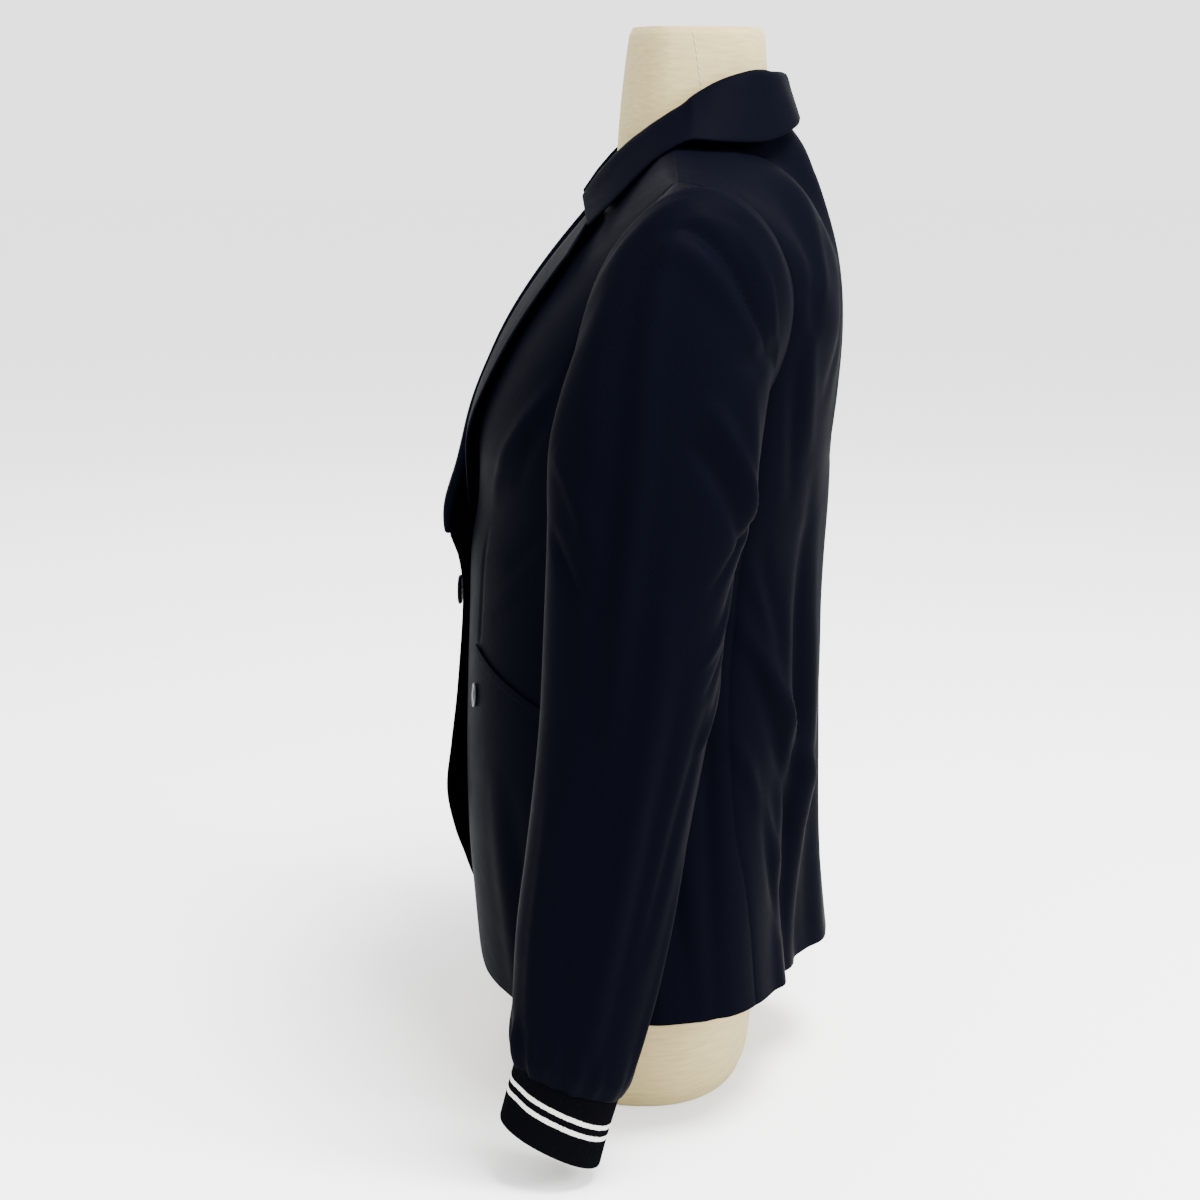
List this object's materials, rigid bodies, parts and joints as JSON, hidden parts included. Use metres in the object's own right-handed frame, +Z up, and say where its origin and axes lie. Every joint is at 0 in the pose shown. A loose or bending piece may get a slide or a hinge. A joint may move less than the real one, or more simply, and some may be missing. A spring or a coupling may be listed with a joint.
{
  "type": "blazer on dress form",
  "caption": "Fitted one-button blazer with notch lapels and striped rib-knit cuffs, worn hollow on a limbless linen-covered dress form.",
  "frame": {"origin": "centre of the dress form's flat base, on the surface it stands on", "axes": "+Z up, the garment faces -Y, the wearer's left side is +X"},
  "size_m": [0.5348, 0.2863, 0.753],
  "materials": {
    "black_stretch_cloth": "smooth stretch suiting with a soft satin sheen",
    "black_rib_knit": "matte rib knit with two white stripes",
    "natural_linen": "plain woven linen cover",
    "gunmetal": "dark brushed stud",
    "black_resin": "polished resin"
  },
  "bodies": {
    "root": {"front_left": "black_stretch_cloth", "front_right": "black_stretch_cloth", "side_left": "black_stretch_cloth", "side_right": "black_stretch_cloth", "back": "black_stretch_cloth", "lapel_left": "black_stretch_cloth", "lapel_right": "black_stretch_cloth", "collar": "black_stretch_cloth", "sleeve_left": "black_stretch_cloth", "sleeve_right": "black_stretch_cloth", "welt_left": "black_stretch_cloth", "welt_right": "black_stretch_cloth", "cuff_left": "black_rib_knit", "cuff_right": "black_rib_knit", "dress_form": "natural_linen", "stud": "gunmetal", "button": "black_resin"}
  },
  "joints": []
}
